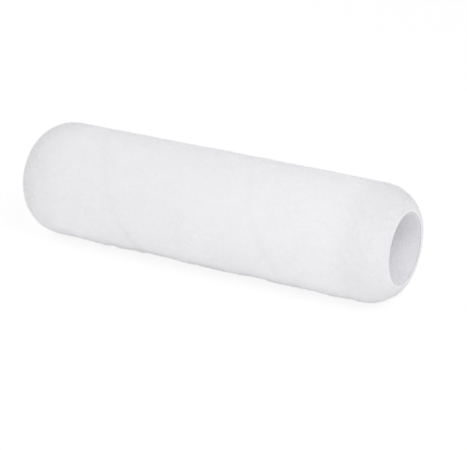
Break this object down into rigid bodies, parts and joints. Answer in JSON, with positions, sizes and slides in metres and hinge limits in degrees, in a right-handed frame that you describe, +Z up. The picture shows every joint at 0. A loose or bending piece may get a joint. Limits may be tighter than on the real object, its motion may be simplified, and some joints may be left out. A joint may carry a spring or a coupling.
{
  "type": "paint roller cover",
  "caption": "Tubular roller sleeve: thick pile with rounded bevelled ends, bonded to a thin open core that slips over a roller frame's cage to carry and spread paint.",
  "frame": {"origin": "on the bore's axis, halfway along the tube", "axes": "+X along the bore's axis, +Z up as the cover lies on its side, +Y completes a right-handed frame"},
  "size_m": [0.2286, 0.064, 0.0638],
  "materials": {
    "core_plastic": "extruded polypropylene strip, milky white, embossed with a fine diamond grain",
    "adhesive_film": "hot-melt polypropylene film, translucent white, seen only as a line on the core's end faces",
    "knit_backing": "white polyester knit, seen only on the core's end faces",
    "pile_fabric": "white knitted polyester pile, soft and matt, sheared to an even height"
  },
  "bodies": {
    "root": {"core_inner_strip": "core_plastic", "core_bond_film": "adhesive_film", "core_outer_strip": "core_plastic", "cover_bond_film": "adhesive_film", "pile_backing": "knit_backing", "nap": "pile_fabric"}
  },
  "joints": []
}
